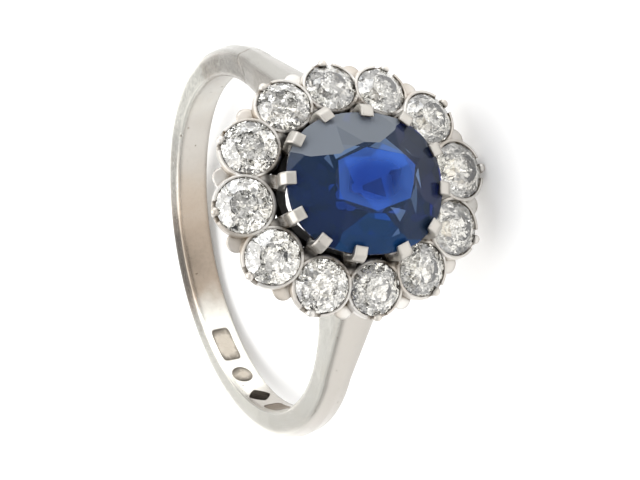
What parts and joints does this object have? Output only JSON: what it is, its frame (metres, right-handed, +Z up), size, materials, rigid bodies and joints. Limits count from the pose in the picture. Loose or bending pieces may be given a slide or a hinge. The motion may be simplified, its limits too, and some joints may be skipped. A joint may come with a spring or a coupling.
{
  "type": "cluster ring",
  "caption": "Finger ring with a cushion-cut blue centre stone in tab claws, ringed by round cut stones in open collets, on a slim band.",
  "frame": {"origin": "centre of the finger hole, midway along its wall", "axes": "the ring lies on its side: +Z up from the floor, +X level from the hole towards the head, +Y across the finger; the hole's axis leans from +Z towards -X"},
  "size_m": [0.0248, 0.0198, 0.0139],
  "materials": {
    "white_gold": "polished white gold, lightly scratched, tarnished in its recesses",
    "sapphire": "polished facets",
    "diamond": "polished facets"
  },
  "bodies": {
    "root": {"ring_metal": "white_gold", "sapphire": "sapphire", "diamond_01": "diamond", "diamond_02": "diamond", "diamond_03": "diamond", "diamond_04": "diamond", "diamond_05": "diamond", "diamond_06": "diamond", "diamond_07": "diamond", "diamond_08": "diamond", "diamond_09": "diamond", "diamond_10": "diamond", "diamond_11": "diamond", "diamond_12": "diamond"}
  },
  "joints": []
}
